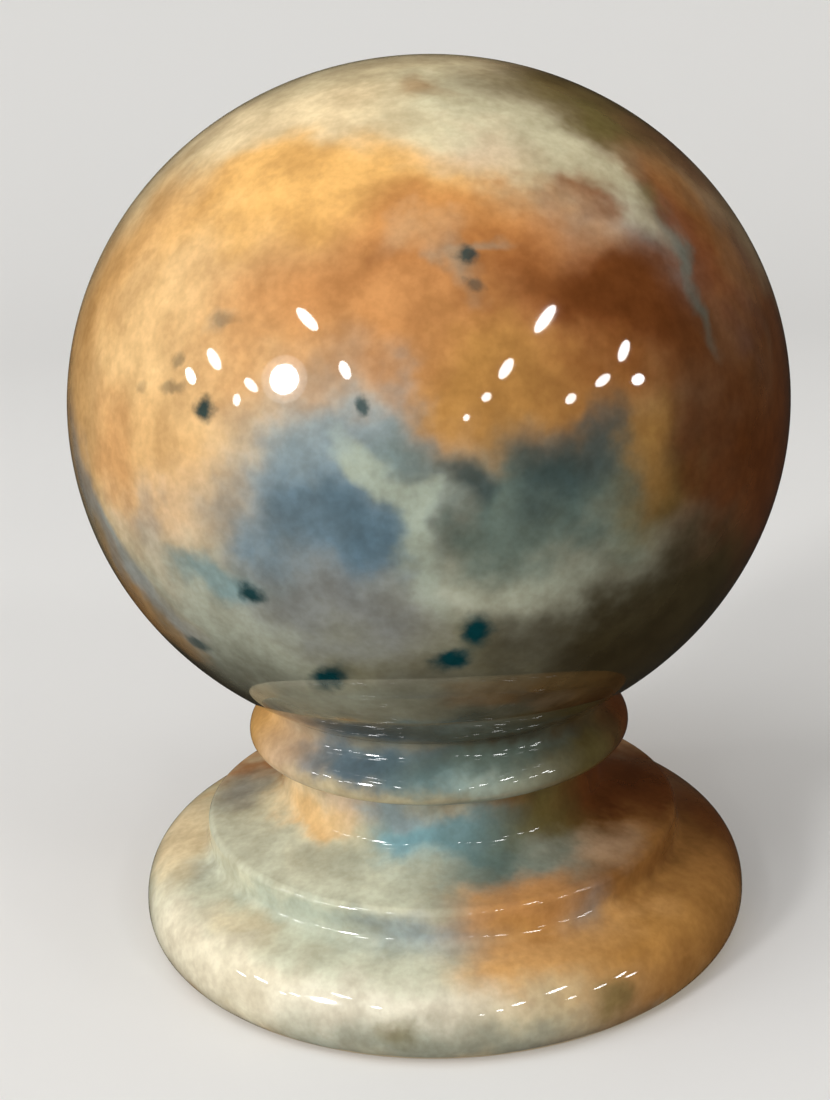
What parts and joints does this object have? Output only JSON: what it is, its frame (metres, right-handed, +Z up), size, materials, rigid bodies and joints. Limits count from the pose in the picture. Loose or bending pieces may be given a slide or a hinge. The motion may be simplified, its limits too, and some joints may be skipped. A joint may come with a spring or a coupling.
{
  "type": "globe paperweight",
  "caption": "Glazed pottery paperweight: a slightly flattened globe on a small collar, waisted neck, low step and wide rounded foot, turned in a single piece.",
  "frame": {"origin": "centre of the standing ring under the foot, on the surface that the paperweight stands on", "axes": "+Z up along the turning axis, from the foot to the globe; -Y is the side that the picture shows"},
  "size_m": [0.0728, 0.0728, 0.0901],
  "materials": {
    "mottled_glaze": "high gloss, mottled amber, celadon and blue-grey"
  },
  "bodies": {
    "root": {"globe_paperweight": "mottled_glaze"}
  },
  "joints": []
}
